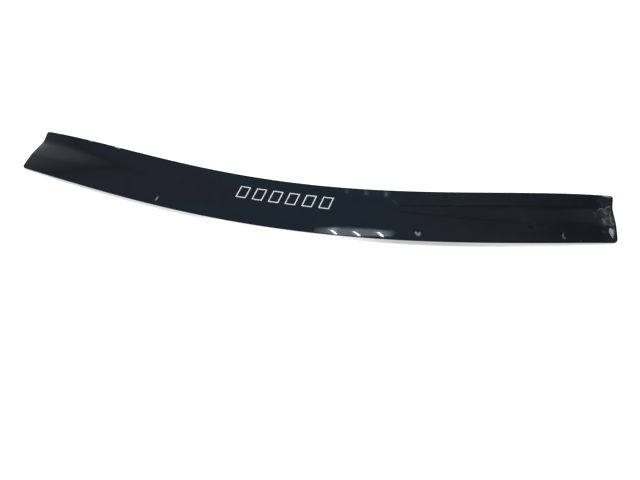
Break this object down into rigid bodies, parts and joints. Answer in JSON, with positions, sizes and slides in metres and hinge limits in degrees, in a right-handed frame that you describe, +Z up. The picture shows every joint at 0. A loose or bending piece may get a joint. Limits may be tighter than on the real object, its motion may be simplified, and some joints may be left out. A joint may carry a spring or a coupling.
{
  "type": "hood bug deflector",
  "caption": "Long bowed acrylic strip with a rolled lower edge and creased ends, held by screw posts on its back, that turns insects and grit over a bonnet.",
  "frame": {"origin": "middle of the footprint of the bounding box, on the surface that the part lies on", "axes": "+X along the strip to its right end, +Y towards its upper edge, +Z up out of the outer face"},
  "size_m": [1.3914, 0.2366, 0.04],
  "materials": {
    "smoked_acrylic": "gloss",
    "black_plastic": "satin"
  },
  "bodies": {
    "root": {"shield": "smoked_acrylic", "fixing_post_inner_left": "black_plastic", "fixing_post_inner_right": "black_plastic", "fixing_post_outer_left": "black_plastic", "fixing_post_outer_right": "black_plastic"}
  },
  "joints": []
}
